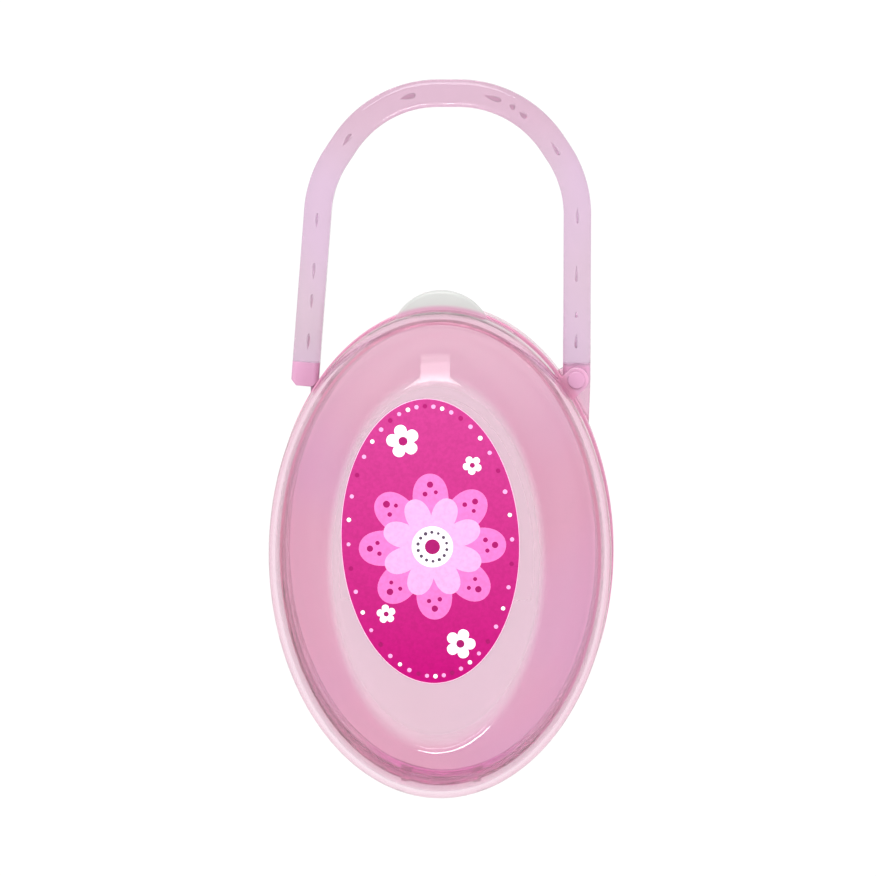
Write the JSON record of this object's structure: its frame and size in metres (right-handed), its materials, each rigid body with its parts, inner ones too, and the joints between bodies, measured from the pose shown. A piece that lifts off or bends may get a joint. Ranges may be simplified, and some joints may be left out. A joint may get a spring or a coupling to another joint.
{
  "type": "pacifier sterilizer case",
  "caption": "Hinged oval pacifier case of clear and pink plastic with a swing-open carrying handle, a thumb tab and a drip rack.",
  "frame": {"origin": "middle of the flat oval back that the case lies on", "axes": "+X across the case, +Y towards the carrying handle, +Z out through the lid"},
  "size_m": [0.0702, 0.1454, 0.0464],
  "materials": {
    "pink_shell": "glossy translucent pink polypropylene",
    "clear_lid": "glossy clarified polypropylene, nearly colourless",
    "clear_pin": "natural polypropylene rod",
    "label_film": "printed polypropylene film with a fine matt texture",
    "soft_bar": "soft translucent elastomer with small voids",
    "pink_end": "glossy pink polypropylene",
    "rack_plastic": "natural polypropylene"
  },
  "bodies": {
    "case": {"rear_shell": "pink_shell", "hinge_pin": "clear_pin", "handle_pivot_pin": "pink_end", "pacifier_rack": "rack_plastic"},
    "lid": {"front_lid": "clear_lid", "face_label": "label_film"},
    "handle": {"handle_bar": "soft_bar", "handle_knuckle": "pink_end", "handle_tip": "pink_end"}
  },
  "joints": [
    {"name": "lid_hinge", "type": "hinge", "parent": "case", "child": "lid", "pos_m": [0, -0.0485, 0.0198], "axis": [1, 0, 0], "range_deg": [0, 120]},
    {"name": "handle_pivot", "type": "hinge", "parent": "case", "child": "handle", "pos_m": [0.02736, 0.0353, 0.0198], "axis": [0, 0, -1], "range_deg": [0, 80]}
  ]
}
